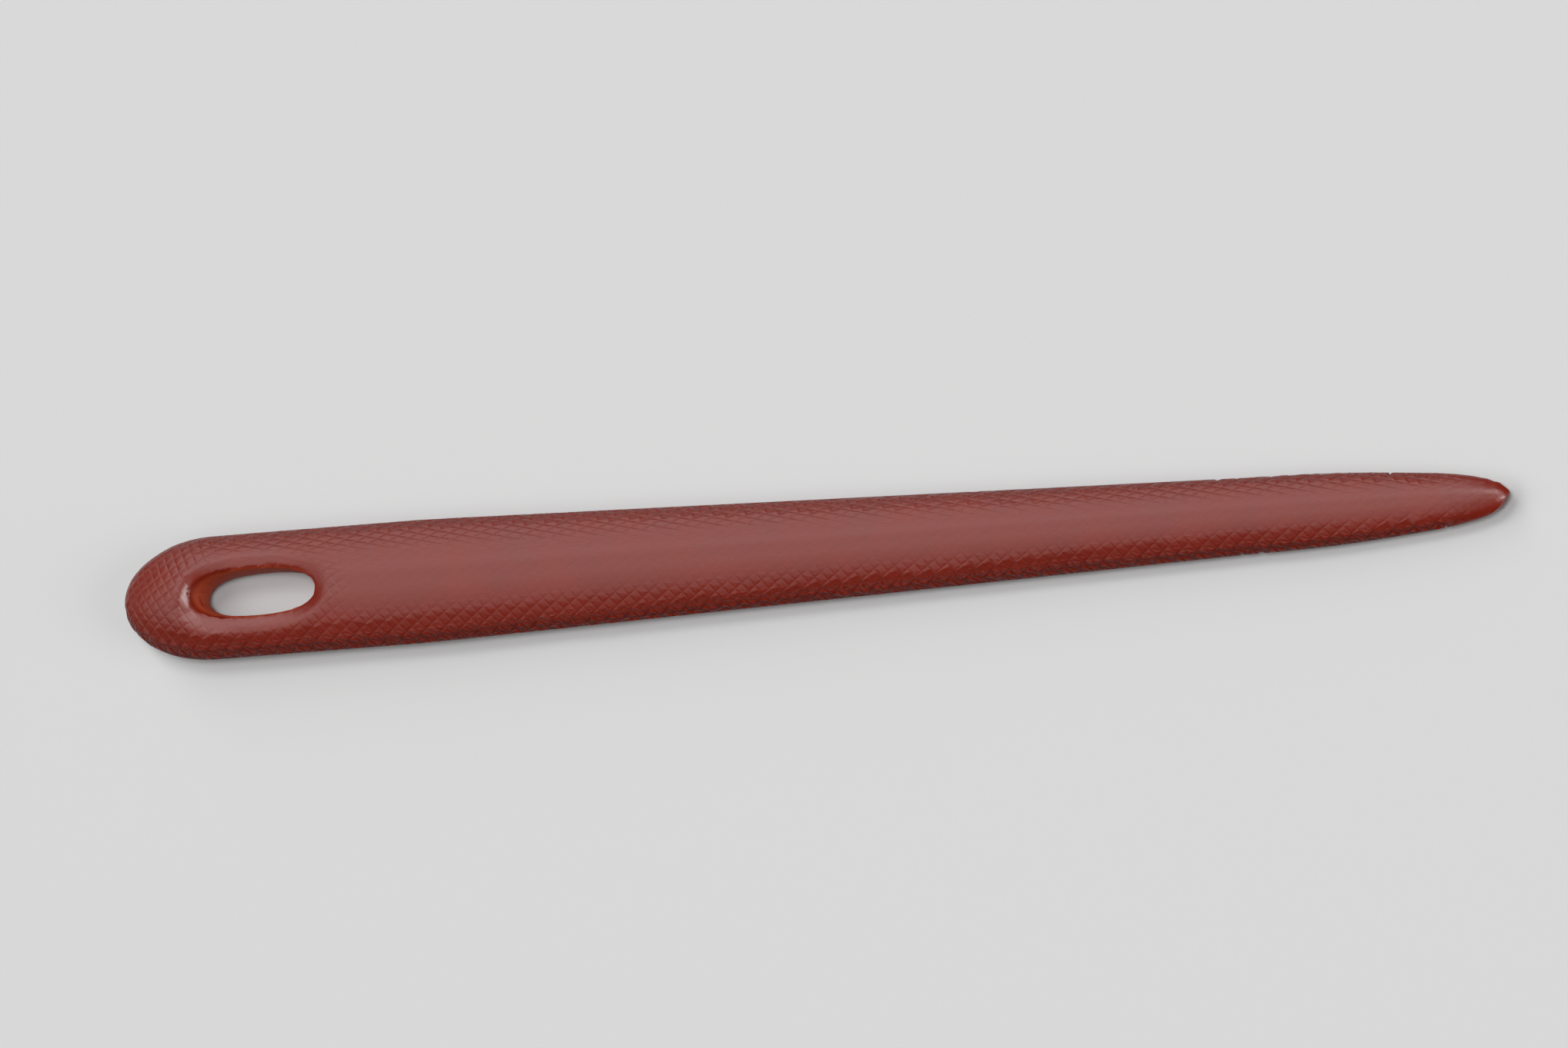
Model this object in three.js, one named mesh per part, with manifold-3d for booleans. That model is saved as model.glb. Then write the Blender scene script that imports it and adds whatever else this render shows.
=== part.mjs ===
// A flat nalebinding needle, shaped and smoothed from one solid piece.
// It lies on the flat of its underside: +X runs from the eye end to the tip, +Z is up, and the
// origin is under the middle of the needle, on the surface that it lies on. Sizes are millimetres.

import * as THREE from "three";
import { mergeVertices } from "three/addons/utils/BufferGeometryUtils.js";
import Module from "manifold-3d";

const wasm = await Module();
wasm.setup();

// The outline, seen from above: a round butt, two parallel sides, a long straight taper from
// there to the shoulder, and a rounded point.
const LENGTH = 150;
const EYE_END_WIDTH = 12.15;
const PARALLEL_LENGTH = 33; // from the butt to the start of the taper
const SHOULDER_WIDTH = 7.5;
const BUTT_ROUND_LENGTH = 9.75;
const POINT_LENGTH = 28.5; // from the shoulder to the tip

// The thickness: the underside is level and the upper face slopes down evenly to the tip.
const BUTT_THICKNESS = 5.85;
const TIP_THICKNESS = 3.6; // where the slope ends, before the point is rounded

// The section: a narrow flat along the middle of each face, and a full curve down each side.
const FLAT_SHARE = 0.14; // of the half width
const SIDE_POWER = 1.75; // 2 would be an ellipse, and less is nearer to a lens

// The eye: a slot with round ends, its rims worked smooth so that yarn runs over them.
const EYE_LENGTH = 12.9;
const EYE_WIDTH = 4.35;
const EYE_FROM_BUTT = 8.7; // solid left between the butt and the eye
const EYE_END_POWER = 2.3; // 2 would be an ellipse, and more is squarer
const RIM_SPREAD = 2.85; // how far the soft rim reaches out over the face
const RIM_DEPTH = 1.9; // how far it reaches down the wall of the eye
const RIM_POWER = 2.6; // 2 would be a quarter ellipse, and more turns more sharply
const RIM_LIFT = 0.075; // how far its curve rises past the face, to meet it at a slight angle
const LEAST_WALL_SHARE = 0.1; // of the thickness at the eye that the rims leave straight

// How finely the curves are cut into flats.
const BUTT_STATIONS = 12;
const BLADE_STATIONS = 30;
const POINT_STATIONS = 14;
const SIDE_STEPS = 12; // from the flat of a face to the side
const EYE_STEPS = 48;
const RIM_STEPS = 7;
const CUT_CLEARANCE = 0.5; // how far the eye's cutter stands out of each face

const QUARTER_TURN = Math.PI / 2;

// What is left of a height at a share of the way round a curved edge, from 0 to 1.
function roundOff(share, power) {
  return Math.pow(1 - Math.pow(Math.min(share, 1), power), 1 / power);
}

// How far round the butt or the point a place is: 0 where the rounding starts, 1 at the end.
function buttShare(fromButt) {
  return Math.max(0, 1 - fromButt / BUTT_ROUND_LENGTH);
}

function pointShare(fromButt) {
  return Math.max(0, 1 - (LENGTH - fromButt) / POINT_LENGTH);
}

// Half the width that the straight sides would have, if the butt weren't rounded.
function squareHalfWidth(fromButt) {
  const taper = (fromButt - PARALLEL_LENGTH) / (LENGTH - POINT_LENGTH - PARALLEL_LENGTH);
  const width = THREE.MathUtils.lerp(
    EYE_END_WIDTH,
    SHOULDER_WIDTH,
    THREE.MathUtils.clamp(taper, 0, 1),
  );
  return (width / 2) * roundOff(pointShare(fromButt), 2);
}

function halfWidth(fromButt) {
  return squareHalfWidth(fromButt) * roundOff(buttShare(fromButt), 2);
}

// The height of the middle of the needle, which is half of the sloping thickness.
function middleHeight(fromButt) {
  return THREE.MathUtils.lerp(BUTT_THICKNESS, TIP_THICKNESS, fromButt / LENGTH) / 2;
}

// How far each face stands from the middle height, at a place seen from above. The curve of the
// sides runs on round the butt, so a place's share of the way out counts both ways.
function faceHeight(fromButt, across) {
  const outwards = across / Math.max(squareHalfWidth(fromButt), Number.EPSILON);
  const share = Math.hypot(buttShare(fromButt), outwards);
  const pastFlat = Math.max(0, (share - FLAT_SHARE) / (1 - FLAT_SHARE));
  const pointRounding = roundOff(pointShare(fromButt), 2);
  return middleHeight(fromButt) * roundOff(pastFlat, SIDE_POWER) * pointRounding;
}

// A point on the upper face, or on the lower one, or a drop below either.
function facePoint(fromButt, across, side, drop = 0) {
  const height = middleHeight(fromButt) + side * (faceHeight(fromButt, across) - drop);
  return new THREE.Vector3(fromButt - LENGTH / 2, across, height);
}

// One closed body through a row of rings with the same number of points, and a point at each end.
// The rings run anticlockwise when seen from the last one.
function loft(firstPoint, rings, lastPoint) {
  const points = [firstPoint, ...rings.flat(), lastPoint];
  const around = rings[0].length;
  const lastRing = 1 + (rings.length - 1) * around;
  const faces = [];
  for (let i = 0; i < around; i++) {
    const next = (i + 1) % around;
    faces.push(0, 1 + next, 1 + i);
    for (let low = 1; low < lastRing; low += around) {
      const high = low + around;
      faces.push(low + i, low + next, high + next);
      faces.push(low + i, high + next, high + i);
    }
    faces.push(lastRing + i, lastRing + next, points.length - 1);
  }
  const body = new THREE.BufferGeometry().setFromPoints(points);
  body.setIndex(faces);
  return body;
}

// The shares of the half width at which a section has points, from the middle to the side.
function sectionShares() {
  const shares = [0];
  for (let i = 0; i < SIDE_STEPS; i++) {
    const out = Math.pow(Math.sin(QUARTER_TURN * (i / SIDE_STEPS)), 2 / SIDE_POWER);
    shares.push(THREE.MathUtils.lerp(FLAT_SHARE, 1, out));
  }
  return shares;
}

// The ring of points round the needle at one station, anticlockwise when seen from the tip.
function sectionRing(fromButt) {
  const width = halfWidth(fromButt);
  const outwards = sectionShares();
  const inwards = outwards.slice(1).reverse();
  return [
    facePoint(fromButt, width, 1),
    ...inwards.map((share) => facePoint(fromButt, share * width, 1)),
    ...outwards.map((share) => facePoint(fromButt, -share * width, 1)),
    facePoint(fromButt, -width, -1),
    ...inwards.map((share) => facePoint(fromButt, -share * width, -1)),
    ...outwards.map((share) => facePoint(fromButt, share * width, -1)),
  ];
}

// Where the needle has a section. The stations close up towards each end.
function stations() {
  const found = [];
  for (let i = BUTT_STATIONS - 1; i >= 0; i--) {
    found.push(BUTT_ROUND_LENGTH * (1 - Math.sin(QUARTER_TURN * (i / BUTT_STATIONS))));
  }
  const bladeLength = LENGTH - POINT_LENGTH - BUTT_ROUND_LENGTH;
  for (let i = 1; i < BLADE_STATIONS; i++) {
    found.push(BUTT_ROUND_LENGTH + bladeLength * (i / BLADE_STATIONS));
  }
  for (let i = 0; i < POINT_STATIONS; i++) {
    found.push(LENGTH - POINT_LENGTH * (1 - Math.sin(QUARTER_TURN * (i / POINT_STATIONS))));
  }
  return found;
}

// The needle before its eye is cut.
function needleBlank() {
  return loft(facePoint(0, 0, 1), stations().map(sectionRing), facePoint(LENGTH, 0, 1));
}

const eyeMiddle = EYE_FROM_BUTT + EYE_LENGTH / 2;

// The outline of the eye, grown outwards all round, as places seen from above.
function eyeOutline(grown) {
  const bulge = (value) => Math.sign(value) * Math.pow(Math.abs(value), 2 / EYE_END_POWER);
  return Array.from({ length: EYE_STEPS }, (_, i) => {
    const turn = (4 * QUARTER_TURN * i) / EYE_STEPS;
    return {
      fromButt: eyeMiddle + bulge(Math.cos(turn)) * (EYE_LENGTH / 2 + grown),
      across: bulge(Math.sin(turn)) * (EYE_WIDTH / 2 + grown),
    };
  });
}

// One ring of the rim, at a share of its curve from the wall of the eye (0) to the face (1).
function rimRing(share, side) {
  const turn = QUARTER_TURN * share;
  const grown = RIM_SPREAD * (1 - Math.pow(Math.cos(turn), 2 / RIM_POWER));
  const rise = Math.pow(Math.sin(turn), 2 / RIM_POWER);
  return eyeOutline(grown).map(({ fromButt, across }) => {
    const depth = Math.min(RIM_DEPTH, (1 - LEAST_WALL_SHARE) * faceHeight(fromButt, across));
    return facePoint(fromButt, across, side, depth - rise * (depth + RIM_LIFT));
  });
}

// The space that the eye takes out: straight in the middle and flared into both faces.
function eyeSpace() {
  const shares = Array.from({ length: RIM_STEPS + 1 }, (_, i) => i / RIM_STEPS);
  const below = -CUT_CLEARANCE;
  const above = 2 * middleHeight(0) + CUT_CLEARANCE;
  const levelRing = (height) =>
    eyeOutline(RIM_SPREAD).map(
      ({ fromButt, across }) => new THREE.Vector3(fromButt - LENGTH / 2, across, height),
    );
  const rings = [
    levelRing(below),
    ...shares.map((share) => rimRing(share, -1)).reverse(),
    ...shares.map((share) => rimRing(share, 1)),
    levelRing(above),
  ];
  const end = (height) => new THREE.Vector3(eyeMiddle - LENGTH / 2, 0, height);
  return loft(end(below), rings, end(above));
}

function toSolid(geometry) {
  const merged = mergeVertices(geometry, 1e-5);
  const mesh = new wasm.Mesh({
    numProp: 3,
    vertProperties: merged.attributes.position.array,
    triVerts: new Uint32Array(merged.index.array),
  });
  return new wasm.Manifold(mesh);
}

function toGeometry(solid) {
  const mesh = solid.getMesh();
  const geometry = new THREE.BufferGeometry();
  geometry.setAttribute("position", new THREE.BufferAttribute(mesh.vertProperties, 3));
  geometry.setIndex(new THREE.BufferAttribute(mesh.triVerts, 1));
  geometry.computeVertexNormals();
  return geometry;
}

const matteRed = new THREE.MeshStandardMaterial({
  color: 0x8a4a44,
  roughness: 0.55,
  metalness: 0,
});

const needle = new THREE.Mesh(
  toGeometry(toSolid(needleBlank()).subtract(toSolid(eyeSpace()))),
  matteRed,
);
needle.name = "needle";

const part = new THREE.Group();
part.add(needle);

export default part;
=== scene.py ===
import math

import bpy
from mathutils import Matrix, Vector
from mathutils.bvhtree import BVHTree


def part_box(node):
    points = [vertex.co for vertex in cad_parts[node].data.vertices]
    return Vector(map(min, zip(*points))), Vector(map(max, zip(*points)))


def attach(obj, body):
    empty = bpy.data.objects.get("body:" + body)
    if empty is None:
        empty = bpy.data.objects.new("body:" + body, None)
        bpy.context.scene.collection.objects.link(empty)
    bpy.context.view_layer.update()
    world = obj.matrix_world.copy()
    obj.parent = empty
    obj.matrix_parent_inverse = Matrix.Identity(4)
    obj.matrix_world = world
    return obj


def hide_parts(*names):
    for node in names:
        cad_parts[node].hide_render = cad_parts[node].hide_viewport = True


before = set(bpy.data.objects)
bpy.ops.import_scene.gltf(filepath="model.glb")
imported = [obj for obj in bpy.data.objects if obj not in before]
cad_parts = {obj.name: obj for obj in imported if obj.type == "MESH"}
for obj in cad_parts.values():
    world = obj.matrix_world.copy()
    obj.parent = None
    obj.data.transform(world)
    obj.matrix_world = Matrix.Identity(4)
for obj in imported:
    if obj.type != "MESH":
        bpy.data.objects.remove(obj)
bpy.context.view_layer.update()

# The camera
# The photograph looks down on the broad face from the tip's end, through a long lens, and is turned
# so that the needle runs across it. The needle lies a little right of and below its middle.
CAMERA_AZIMUTH = math.radians(73.35)
CAMERA_ELEVATION = math.radians(62.78)
CAMERA_ROLL = math.radians(-76.02)
LENS_MM = 1000
SENSOR_MM = 36
PHOTO_WIDTH_PX = 2037
PIXELS_PER_METRE = 13373
NEEDLE_RIGHT_PX = 36.7
NEEDLE_DOWN_PX = 33.6

needle_low, needle_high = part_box("needle")
needle_middle = (needle_low + needle_high) / 2
camera_turn = (
    Matrix.Rotation(CAMERA_AZIMUTH, 3, "Z")
    @ Matrix.Rotation(math.pi / 2 - CAMERA_ELEVATION, 3, "X")
    @ Matrix.Rotation(CAMERA_ROLL, 3, "Z")
)
in_picture = Vector((-NEEDLE_RIGHT_PX, NEEDLE_DOWN_PX, 0)) / PIXELS_PER_METRE
camera_distance = PHOTO_WIDTH_PX / PIXELS_PER_METRE * LENS_MM / SENSOR_MM
bpy.ops.object.camera_add(
    location=needle_middle + camera_turn @ (in_picture + Vector((0, 0, camera_distance))),
    rotation=camera_turn.to_euler(),
)
camera = bpy.context.object
camera.data.lens = LENS_MM
camera.data.sensor_width = SENSOR_MM
bpy.context.scene.camera = camera

# The needle
# One piece of red carving wax. It was shaped with a toothed tool, drawn over it in two crossing
# directions, and its sides and butt keep the small facets and rows of marks that the teeth left.
# The broad faces, the eye and the point were rubbed smooth afterwards. It lies loose on the floor.
MM = 0.001

# The section, as in the CAD model: a narrow flat along each face and a full curve down each side.
BUTT_THICKNESS = 5.85 * MM
TIP_THICKNESS = 3.6 * MM
BUTT_ROUND_LENGTH = 9.75 * MM
FLAT_SHARE = 0.14
SIDE_POWER = 1.75

# The eye, as in the CAD model.
EYE_MIDDLE = Vector((-59.85, 0, 0)) * MM
EYE_HALF_LENGTH = 6.45 * MM
EYE_HALF_WIDTH = 2.175 * MM
EYE_POWER = 2.3

# The bevel pared round the eye starts this far out from the wall, and further out towards the butt
# on the near side. Its last part, the edge, flares down into the wall.
BEVEL_START = 1.6 * MM
BEVEL_WIDER = 0.8 * MM
BEVEL_SLOPE = 0.4
WALL_EDGE = 0.2 * MM
WALL_EDGE_WIDER = 0.32 * MM
WALL_FLARE = 2.5
ON_WALL = 0.03 * MM

cad_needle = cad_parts["needle"]


def merged_copy(name):
    copy = bpy.data.objects.new(name, cad_needle.data.copy())
    bpy.context.collection.objects.link(copy)
    bpy.ops.object.select_all(action="DESELECT")
    copy.select_set(True)
    bpy.context.view_layer.objects.active = copy
    bpy.ops.object.mode_set(mode="EDIT")
    bpy.ops.mesh.select_all(action="SELECT")
    bpy.ops.mesh.remove_doubles(threshold=0.001 * MM)
    bpy.ops.object.mode_set(mode="OBJECT")
    return copy


# Goes from 0 at the start of a stretch to 1 at its end. Each stretch is a pair of values: places in
# metres, distances out from the wall of the eye, or levels. A level says how far a surface faces
# straight up or down: 0 at the edge of a side, 1 on the flat of a face.
def smooth_step(value, stretch):
    start, end = stretch
    share = min(max((value - start) / (end - start), 0), 1)
    return share * share * (3 - 2 * share)


# How far out from the wall of the eye a place is, seen from above: below zero inside the eye. The
# outline through the place is found by halving, and far from the eye any large distance will do.
DEEPEST_IN = -0.9 * EYE_HALF_WIDTH
FARTHEST_OUT = 20 * MM
HALVINGS = 14


def out_from_eye(place):
    across = place - EYE_MIDDLE
    if abs(across.x) > 2 * EYE_HALF_LENGTH:
        return EYE_HALF_LENGTH
    low, high = DEEPEST_IN, FARTHEST_OUT
    for _ in range(HALVINGS):
        grown = (low + high) / 2
        along_share = abs(across.x) / (EYE_HALF_LENGTH + grown)
        across_share = abs(across.y) / (EYE_HALF_WIDTH + grown)
        if along_share**EYE_POWER + across_share**EYE_POWER > 1:
            low = grown
        else:
            high = grown
    return (low + high) / 2


def middle_height(place):
    along = (place.x - needle_low.x) / (needle_high.x - needle_low.x)
    return (BUTT_THICKNESS + (TIP_THICKNESS - BUTT_THICKNESS) * along) / 2


# How far each face stands from the middle height, at a place seen from above.
def face_height(place):
    past_butt = max(0, 1 - (place.x - needle_low.x) / BUTT_ROUND_LENGTH)
    share = math.hypot(past_butt, place.y / needle_high.y)
    past_flat = min(max((share - FLAT_SHARE) / (1 - FLAT_SHARE), 0), 1)
    return middle_height(place) * (1 - past_flat**SIDE_POWER) ** (1 / SIDE_POWER)


# The smooth form that the needle is rubbed back to. Its eye gets a bevel with a clear edge.
BEVEL_TO_BUTT = (-61 * MM, -66 * MM)
BEVEL_TO_NEAR_SIDE = (0.5 * MM, -2 * MM)

form = merged_copy("smooth_form")
for vertex in form.data.vertices:
    out = out_from_eye(vertex.co)
    if ON_WALL < out < BEVEL_START + BEVEL_WIDER:
        middle = middle_height(vertex.co)
        side = 1 if vertex.co.z > middle else -1
        to_butt = smooth_step(vertex.co.x, BEVEL_TO_BUTT)
        start = BEVEL_START + BEVEL_WIDER * to_butt * smooth_step(vertex.co.y, BEVEL_TO_NEAR_SIDE)
        edge = WALL_EDGE + WALL_EDGE_WIDER * to_butt
        drop = BEVEL_SLOPE * max(0, start - out) + WALL_FLARE * max(0, edge - out)
        height = middle + side * (face_height(vertex.co) - drop)
        vertex.co.z = min(max(height, needle_low.z), needle_high.z)
form_tree = BVHTree.FromObject(form, bpy.context.evaluated_depsgraph_get())

# The tool left square facets, one tooth wide, on a grid that is turned against the needle. A block
# remesh on that grid makes them, and a light smoothing blunts their corners.
FACET_SIZE = 0.973 * MM
FACET_TURN = math.radians(30)
OCTREE_DEPTH = 8
CORNER_ROUNDS = 4
SMOOTHING = 0.5


def apply_modifier(kind, **settings):
    modifier = needle.modifiers.new(kind.lower(), kind)
    for key, value in settings.items():
        setattr(modifier, key, value)
    bpy.ops.object.modifier_apply(modifier=modifier.name)


def turn_about_z(angle):
    needle.rotation_euler.z = angle
    bpy.ops.object.transform_apply(location=False, rotation=True, scale=False)


def soften(rounds, **where):
    apply_modifier("SMOOTH", factor=SMOOTHING, iterations=rounds, **where)


def draw_back(group_name):
    wrap = "NEAREST_SURFACEPOINT"
    apply_modifier("SHRINKWRAP", target=form, vertex_group=group_name, wrap_method=wrap)


needle = merged_copy("wax_needle")
turn_about_z(-FACET_TURN)
apply_modifier(
    "REMESH",
    mode="BLOCKS",
    octree_depth=OCTREE_DEPTH,
    scale=max(needle.dimensions) / (FACET_SIZE * 2**OCTREE_DEPTH),
    use_remove_disconnected=False,
)
turn_about_z(FACET_TURN)
soften(CORNER_ROUNDS)

# The needle is rubbed back to the smooth form twice. The first rub leaves each facet this share of
# its height, and the second takes the last of it off the faces, the rim of the eye and the edges.
FACETS_LEFT_ON_FACES = 0.03
FACETS_LEFT_ON_NEAR_SIDE = 0.24
FACETS_LEFT_ON_FAR_SIDE = 0.12
TIP = (66 * MM, 72 * MM)
FLANK_LEVEL = (0.96, 0.86)
ABOVE_EDGE_LEVEL = (0, 0.3)
FACE_LEVEL = (0.9, 0.97)
EDGE_LEVEL = (0.45, 0.15)
RIM_LEVEL = (0.2, 0.4)
RIM_OUT = (3.2 * MM, 1.8 * MM)
WALL_OUT = (1.0 * MM, 0.5 * MM)
FINER = 2


# Draws the needle back to the smooth form. A vertex keeps the share of its facet that kept() gives.
def rub(kept):
    group = needle.vertex_groups.new(name="rubbed")
    for vertex in needle.data.vertices:
        place, normal = form_tree.find_nearest(vertex.co)[:2]
        group.add([vertex.index], 1 - kept(place, abs(normal.z)), "REPLACE")
    draw_back("rubbed")
    needle.vertex_groups.clear()


def kept_at_first(place, level):
    on_side = FACETS_LEFT_ON_NEAR_SIDE if place.y < 0 else FACETS_LEFT_ON_FAR_SIDE
    on_flank = smooth_step(level, FLANK_LEVEL) * smooth_step(level, ABOVE_EDGE_LEVEL)
    share = on_flank * (1 - smooth_step(place.x, TIP))
    return FACETS_LEFT_ON_FACES + (on_side - FACETS_LEFT_ON_FACES) * share


def kept_at_last(place, level):
    out = out_from_eye(place)
    on_rim = smooth_step(out, RIM_OUT) * smooth_step(level, RIM_LEVEL)
    on_edge = smooth_step(level, EDGE_LEVEL) * (1 - smooth_step(out, WALL_OUT))
    return 1 - max(smooth_step(level, FACE_LEVEL), on_rim, on_edge)


rub(kept_at_first)
apply_modifier("SUBSURF", subdivision_type="SIMPLE", levels=FINER, render_levels=FINER)
rub(kept_at_last)

# Handling wore the edges of the sides and the point, so what the facets left there is smoothed out
# in turns, each drawn back to the smooth form.
WORN_LEVEL = (0.45, 0.2)
UNWORN_OUT = (1.2 * MM, 0.6 * MM)
WEAR_TURNS = 3
WEAR_ROUNDS = 4

worn_group = needle.vertex_groups.new(name="worn")
for vertex in needle.data.vertices:
    place, normal = form_tree.find_nearest(vertex.co)[:2]
    worn = max(smooth_step(abs(normal.z), WORN_LEVEL), smooth_step(place.x, TIP))
    worn *= 1 - smooth_step(out_from_eye(place), UNWORN_OUT)
    worn_group.add([vertex.index], worn, "REPLACE")
for _ in range(WEAR_TURNS):
    soften(WEAR_ROUNDS, vertex_group="worn")
    draw_back("worn")
needle.vertex_groups.clear()

# The point is blunter than in the CAD model: wider and, at its very end, shorter by these shares.
TIP_WIDENING = 0.12
TIP_WIDENED = (62 * MM, 74 * MM)
TIP_SHORTENING = 0.25
TIP_SHORTENED_FROM = 73.5 * MM

for vertex in needle.data.vertices:
    vertex.co.x -= TIP_SHORTENING * max(0, vertex.co.x - TIP_SHORTENED_FROM)
    vertex.co.y *= 1 + TIP_WIDENING * smooth_step(vertex.co.x, TIP_WIDENED)

# A cloth drawn through the eye softened the edge between its bevel and its wall.
EYE_EDGE_OUT = (1.6 * MM, 0.8 * MM)
EYE_EDGE_ROUNDS = 3
CREASE_ANGLE = math.radians(12)

eye_edge_group = needle.vertex_groups.new(name="eye_edge")
for vertex in needle.data.vertices:
    softened = smooth_step(out_from_eye(vertex.co), EYE_EDGE_OUT)
    eye_edge_group.add([vertex.index], softened, "REPLACE")
soften(EYE_EDGE_ROUNDS, vertex_group="eye_edge")
needle.vertex_groups.clear()
bpy.ops.object.shade_smooth_by_angle(angle=CREASE_ANGLE)

# How each place was worked, for the material, from 0 to 1: how deep the crossing grooves are, how
# clear the courses of marks are on a side, how far the marks are drawn out along the needle, where
# the wall of the eye is as it was cut, and where the wax is rubbed to a finer gloss.
WORKED = ("grooved", "coursed", "lengthened", "cut", "polished")
BUTT = (-61 * MM, -68 * MM)
FAR_SIDE = (0, 2 * MM)
PAST_BEVEL_OUT = (1.4 * MM, 2.2 * MM)
BY_EYE_OUT = (5 * MM, 2 * MM)
CUT_OUT = (0.5 * MM, 0.2 * MM)
CUT_LEVEL = (0.6, 0.3)
GROOVED_LEVEL = (0.99, 0.93)
COURSED_LEVEL = (0.92, 0.7)
GROOVES_BY_EYE = 0.8
GROOVES_ON_NEAR_SIDE = 0.85
COURSES_ON_FAR_SIDE = 0.35

for name in WORKED:
    needle.data.attributes.new(name, "FLOAT", "POINT")
grooved, coursed, lengthened, cut, polished = (needle.data.attributes[name] for name in WORKED)
for vertex in needle.data.vertices:
    place, normal = form_tree.find_nearest(vertex.co)[:2]
    level = abs(normal.z)
    out = out_from_eye(place)
    at_tip = smooth_step(place.x, TIP)
    on_butt = smooth_step(place.x, BUTT)
    past_bevel = smooth_step(out, PAST_BEVEL_OUT)
    as_cut = smooth_step(out, CUT_OUT) * smooth_step(level, CUT_LEVEL)
    by_eye = GROOVES_BY_EYE * smooth_step(out, BY_EYE_OUT)
    on_flank = smooth_step(level, GROOVED_LEVEL) * (GROOVES_ON_NEAR_SIDE if place.y < 0 else 1)
    on_side = smooth_step(level, COURSED_LEVEL) * (1 if place.y < 0 else COURSES_ON_FAR_SIDE)
    marked = past_bevel * (1 - at_tip)
    grooved.data[vertex.index].value = max(on_butt, by_eye, on_flank) * marked
    coursed.data[vertex.index].value = on_side * marked
    lengthened.data[vertex.index].value = smooth_step(place.y, FAR_SIDE) * (1 - on_butt)
    cut.data[vertex.index].value = as_cut
    polished.data[vertex.index].value = max(1 - past_bevel, at_tip) * (1 - as_cut)
bpy.data.objects.remove(form)

# Red carving wax, cut with a toothed tool and rubbed with a cloth. It is a deep, even red with a
# soft grey sheen: each tooth mark is a small pillow that catches the light on one side, and a
# narrow groove between two of them loses it.
wax = bpy.data.materials.new("red_carving_wax")
wax.use_nodes = True
tree = wax.node_tree
shader = tree.nodes["Principled BSDF"]


def linear(hex_colour):
    values = [int(hex_colour[i : i + 2], 16) / 255 for i in (1, 3, 5)]
    return [v / 12.92 if v <= 0.04045 else ((v + 0.055) / 1.055) ** 2.4 for v in values] + [1]


# Adds a node with its settings and gives its inputs, in order or by name, their values or links.
def add_node(kind, settings, *values, output=0, **named):
    node = tree.nodes.new("ShaderNode" + kind)
    for key, value in settings.items():
        setattr(node, key, value)
    for key, value in [*enumerate(values), *named.items()]:
        if isinstance(value, bpy.types.NodeSocket):
            tree.links.new(value, node.inputs[key])
        else:
            node.inputs[key].default_value = value
    return node.outputs[output]


here = add_node("TexCoord", {}, output="Object")
grooved_here, coursed_here, lengthened_here, cut_here, polished_here = (
    add_node("Attribute", {"attribute_name": name}, output="Fac") for name in WORKED
)

# The wax is slightly cloudy over a few millimetres. The scratches of the cloth are finer than
# 0.1 mm, too fine to show here, so they are drawn as a coarser grain.
CLOUD_SIZE = 5 * MM
GRAIN_SIZE = 0.35 * MM
DETAIL = 3.0
CLOUD_ROUGHNESS = 0.6

cloud = add_node(
    "TexNoise",
    {},
    output="Fac",
    Vector=here,
    Scale=1 / CLOUD_SIZE,
    Detail=DETAIL,
    Roughness=CLOUD_ROUGHNESS,
)
grain = add_node("TexNoise", {}, output="Fac", Vector=here, Scale=1 / GRAIN_SIZE, Detail=DETAIL)

# Rows of marks, as how many of them a millimetre along X, Y and Z crosses, and where they start.
# The first two sets cross, 0.94 and 0.93 mm apart, and the level rows are 0.97 mm high.
FIRST_ROWS = (0.5149, -0.916, 0.178)
FIRST_START = 0.1
SECOND_ROWS = (0.8922, 0.584, 0.139)
SECOND_START = 0.3
LEVEL_ROWS = (0.02, 0, 1.03)

ADD = {"operation": "ADD"}
SUBTRACT = {"operation": "SUBTRACT"}
MULTIPLY = {"operation": "MULTIPLY"}
MULTIPLY_ADD = {"operation": "MULTIPLY_ADD"}
POWER = {"operation": "POWER"}
SMOOTH_MIN = {"operation": "SMOOTH_MIN"}
DOT_PRODUCT = {"operation": "DOT_PRODUCT"}

first_rows, second_rows, level_rows = (
    add_node("VectorMath", DOT_PRODUCT, here, [count / MM for count in rows], output="Value")
    for rows in (FIRST_ROWS, SECOND_ROWS, LEVEL_ROWS)
)
first_rows = add_node("Math", ADD, first_rows, FIRST_START)
second_rows = add_node("Math", ADD, second_rows, SECOND_START)

# Each row has a ridge along its middle, from 0 in the groove to 1 on its top. A lower power gives
# the ridge a flatter top and a narrower groove.
ROUND_TOP = 1.0
FLAT_TOP = 0.65


def ridge(rows, power):
    wave = add_node("Math", {"operation": "SINE"}, add_node("Math", MULTIPLY, rows, math.pi))
    return add_node("Math", POWER, add_node("Math", {"operation": "ABSOLUTE"}, wave), power)


long_ridge = ridge(add_node("Math", SUBTRACT, second_rows, first_rows), ROUND_TOP)

# The fine marks have flat tops and narrow grooves. They are square on the butt and the near side,
# and lozenges drawn out along the needle, a little deeper, on the far side.
GROOVE_BLUR = 0.1
LOZENGE_DEPTH = 1.15

first_flats = ridge(first_rows, FLAT_TOP)
long_flats = add_node("Math", POWER, long_ridge, FLAT_TOP)
square = add_node("Math", SMOOTH_MIN, first_flats, ridge(second_rows, FLAT_TOP), GROOVE_BLUR)
lozenge = add_node("Math", SMOOTH_MIN, first_flats, long_flats, GROOVE_BLUR)
deep_lozenge = add_node("Math", MULTIPLY, lozenge, LOZENGE_DEPTH)
to_lozenge = add_node("Math", SUBTRACT, deep_lozenge, square)
fine_mark = add_node("Math", MULTIPLY_ADD, lengthened_here, to_lozenge, square)

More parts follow.
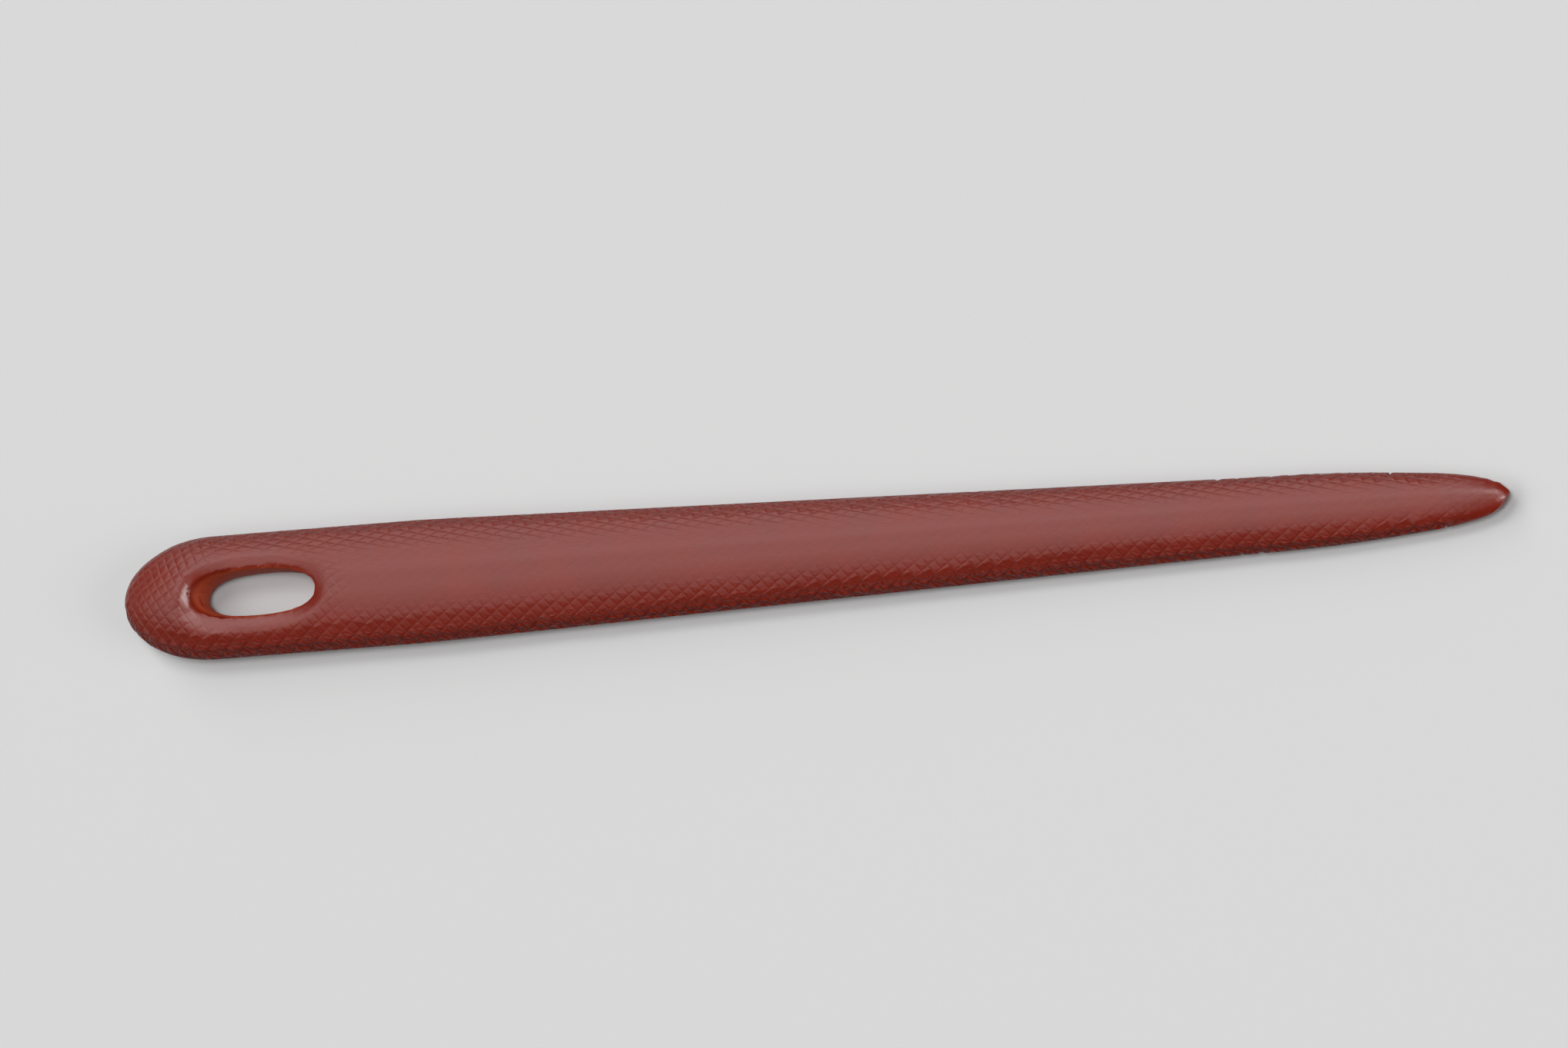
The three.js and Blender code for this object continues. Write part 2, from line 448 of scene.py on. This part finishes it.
# Down a side the marks overlap like shingles, in courses that zigzag with the first rows.
HALF_ROW = 0.5
ZIGZAG_HEIGHT = 0.8
COURSE_HEIGHT = 1.6
SHINGLE_BLUR = 0.15

back_and_forth = add_node("Math", {"operation": "PINGPONG"}, first_rows, HALF_ROW)
zigzag = add_node("Math", MULTIPLY, back_and_forth, ZIGZAG_HEIGHT)
course_top = ridge(add_node("Math", ADD, level_rows, zigzag), ROUND_TOP)
course = add_node("Math", MULTIPLY, course_top, COURSE_HEIGHT)
first_ridge = ridge(first_rows, ROUND_TOP)
second_ridge = ridge(second_rows, ROUND_TOP)
pillow = add_node("Math", SMOOTH_MIN, first_ridge, second_ridge, SHINGLE_BLUR)
split_pillow = add_node("Math", SMOOTH_MIN, pillow, long_ridge, SHINGLE_BLUR)
shingle = add_node("Math", SMOOTH_MIN, split_pillow, course, SHINGLE_BLUR)

# The relief in millimetres. The fine marks are shallower where the shingles take over, and hardly
# there on the rubbed faces.
GROOVE_DEPTH_MM = 0.038
FACE_GROOVE_DEPTH_MM = 0.008
SHINGLE_DEPTH_MM = 0.14
GRAIN_DEPTH_MM = 0.006
LOST_TO_SHINGLES = -0.5

grooves_left = add_node("Math", MULTIPLY_ADD, coursed_here, LOST_TO_SHINGLES, grooved_here)
fine_depth = add_node("Math", MULTIPLY_ADD, grooves_left, GROOVE_DEPTH_MM, FACE_GROOVE_DEPTH_MM)
shingle_depth = add_node("Math", MULTIPLY, coursed_here, SHINGLE_DEPTH_MM)
shingle_relief = add_node("Math", MULTIPLY, shingle, shingle_depth)
relief = add_node("Math", MULTIPLY_ADD, fine_mark, fine_depth, shingle_relief)
relief = add_node("Math", MULTIPLY_ADD, grain, GRAIN_DEPTH_MM, relief)
bumped = add_node("Bump", {}, Height=relief, Distance=MM, Strength=1.0)
tree.links.new(bumped, shader.inputs["Normal"])

# The red drifts a little with the clouds. The cut wall of the eye is painted a lighter, pinker red,
# as painted light and sheen, and the hollows between the shingles are painted darker, as painted
# shade where less light gets in.
DULL_RED = "#611508"
BRIGHT_RED = "#741c09"
PAINTED_LIGHT_WALL_RED = "#96381b"
PAINTED_SHADE_RED = "#3c0a03"
SHADE_NARROWING = -2.4
SHADE_STRENGTH = 0.85
SHADE_BOTTOM = 1.0
CLAMPED = {"use_clamp": True}
COLOUR_MIX = {"data_type": "RGBA"}
COLOUR_RESULT = 2

# Painted shade: the hollows between the shingles are darkened where less light gets in.
painted_shade = add_node("Math", MULTIPLY_ADD | CLAMPED, shingle, SHADE_NARROWING, SHADE_BOTTOM)
painted_shade_strength = add_node("Math", MULTIPLY, coursed_here, SHADE_STRENGTH)
red = add_node(
    "Mix",
    COLOUR_MIX,
    output=COLOUR_RESULT,
    Factor=cloud,
    A=linear(DULL_RED),
    B=linear(BRIGHT_RED),
)
# Painted light and sheen: the cut wall of the eye gets a lighter, pinker red.
red_with_painted_wall_light = add_node(
    "Mix", COLOUR_MIX, output=COLOUR_RESULT, Factor=cut_here, A=red, B=linear(PAINTED_LIGHT_WALL_RED)
)
red_with_painted_shade = add_node(
    "Mix",
    COLOUR_MIX,
    output=COLOUR_RESULT,
    Factor=add_node("Math", MULTIPLY, painted_shade, painted_shade_strength),
    A=red_with_painted_wall_light,
    B=linear(PAINTED_SHADE_RED),
)
tree.links.new(red_with_painted_shade, shader.inputs["Base Color"])

# The rubbing left an uneven satin, glossier round the eye and at the point. The cut wall is matt,
# and the rough sides shine less.
SATIN = 0.31
CLOUD_MATT = 0.1
POLISHED_MATT = -0.07
CUT_MATT = 0.35
GLOSS = 0.5
GLOSS_LOST_ON_SIDES = -0.34
GLOSS_LOST_ON_CUT = -0.15
LEAST_GLOSS = 0.05
WAX_IOR = 1.46

matt = add_node("Math", MULTIPLY_ADD, cloud, CLOUD_MATT, SATIN)
matt = add_node("Math", MULTIPLY_ADD, polished_here, POLISHED_MATT, matt)
matt = add_node("Math", MULTIPLY_ADD, cut_here, CUT_MATT, matt)
tree.links.new(matt, shader.inputs["Roughness"])
gloss = add_node("Math", MULTIPLY_ADD, coursed_here, GLOSS_LOST_ON_SIDES, GLOSS)
gloss = add_node("Math", MULTIPLY_ADD, cut_here, GLOSS_LOST_ON_CUT, gloss)
gloss = add_node("Math", {"operation": "MAXIMUM"}, gloss, LEAST_GLOSS)
tree.links.new(gloss, shader.inputs["Specular IOR Level"])
shader.inputs["IOR"].default_value = WAX_IOR
needle.data.materials.clear()
needle.data.materials.append(wax)
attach(needle, "root")
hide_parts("needle")

# The floor
# A plain sheet of pale paper, far wider than the needle, that it lies on.
FLOOR_WIDTH = 8
PAPER_ROUGHNESS = 0.9

bpy.ops.mesh.primitive_plane_add(size=FLOOR_WIDTH, location=(0, 0, 0))
floor = bpy.context.object
floor.name = "floor"
paper = bpy.data.materials.new("pale_paper")
paper.use_nodes = True
paper_shader = paper.node_tree.nodes["Principled BSDF"]
paper_shader.inputs["Base Color"].default_value = linear("#bcbcbc")
paper_shader.inputs["Roughness"].default_value = PAPER_ROUGHNESS
floor.data.materials.append(paper)

# The lights
# Round soft boxes, all equally far away. A small bright one beside the camera and another over the
# far side give the broad face and the far flank their sheen. Wide, dim ones fill in the rest.
LAMP_DISTANCE = 4.0
WORLD_STRENGTH = 0.07


# A disc's power in watts is its radiance times pi times its area.
def softbox(name, towards, width, radiance):
    bpy.ops.object.light_add(type="AREA", location=Vector(towards).normalized() * LAMP_DISTANCE)
    lamp = bpy.context.object
    lamp.name = name
    lamp.rotation_euler = Vector(towards).to_track_quat("Z", "Y").to_euler()
    lamp.data.shape = "DISK"
    lamp.data.size = width
    lamp.data.energy = radiance * math.pi * math.pi * (width / 2) ** 2


softbox("key", towards=(0.32, -0.04, 0.94), width=1.1, radiance=24)
softbox("top", towards=(0.03, 0.36, 0.93), width=1.3, radiance=8)
softbox("overhead", towards=(-0.42, 0.12, 0.9), width=2.6, radiance=1.8)
softbox("far_side", towards=(-0.38, 0.5, 0.78), width=2.6, radiance=2.0)
softbox("far_low", towards=(-0.42, 0.8, 0.43), width=2.2, radiance=2.6)
softbox("near_side", towards=(-0.38, -0.36, 0.85), width=2.0, radiance=1.6)
softbox("butt_side", towards=(-0.78, 0.0, 0.62), width=2.4, radiance=1.4)
softbox("tip_side", towards=(0.88, -0.15, 0.42), width=2.4, radiance=3.8)
world = bpy.data.worlds.new("studio")
bpy.context.scene.world = world
world.use_nodes = True
world_light = world.node_tree.nodes["Background"]
world_light.inputs["Color"].default_value = (1, 1, 1, 1)
world_light.inputs["Strength"].default_value = WORLD_STRENGTH

bpy.context.scene.view_settings.view_transform = "Standard"
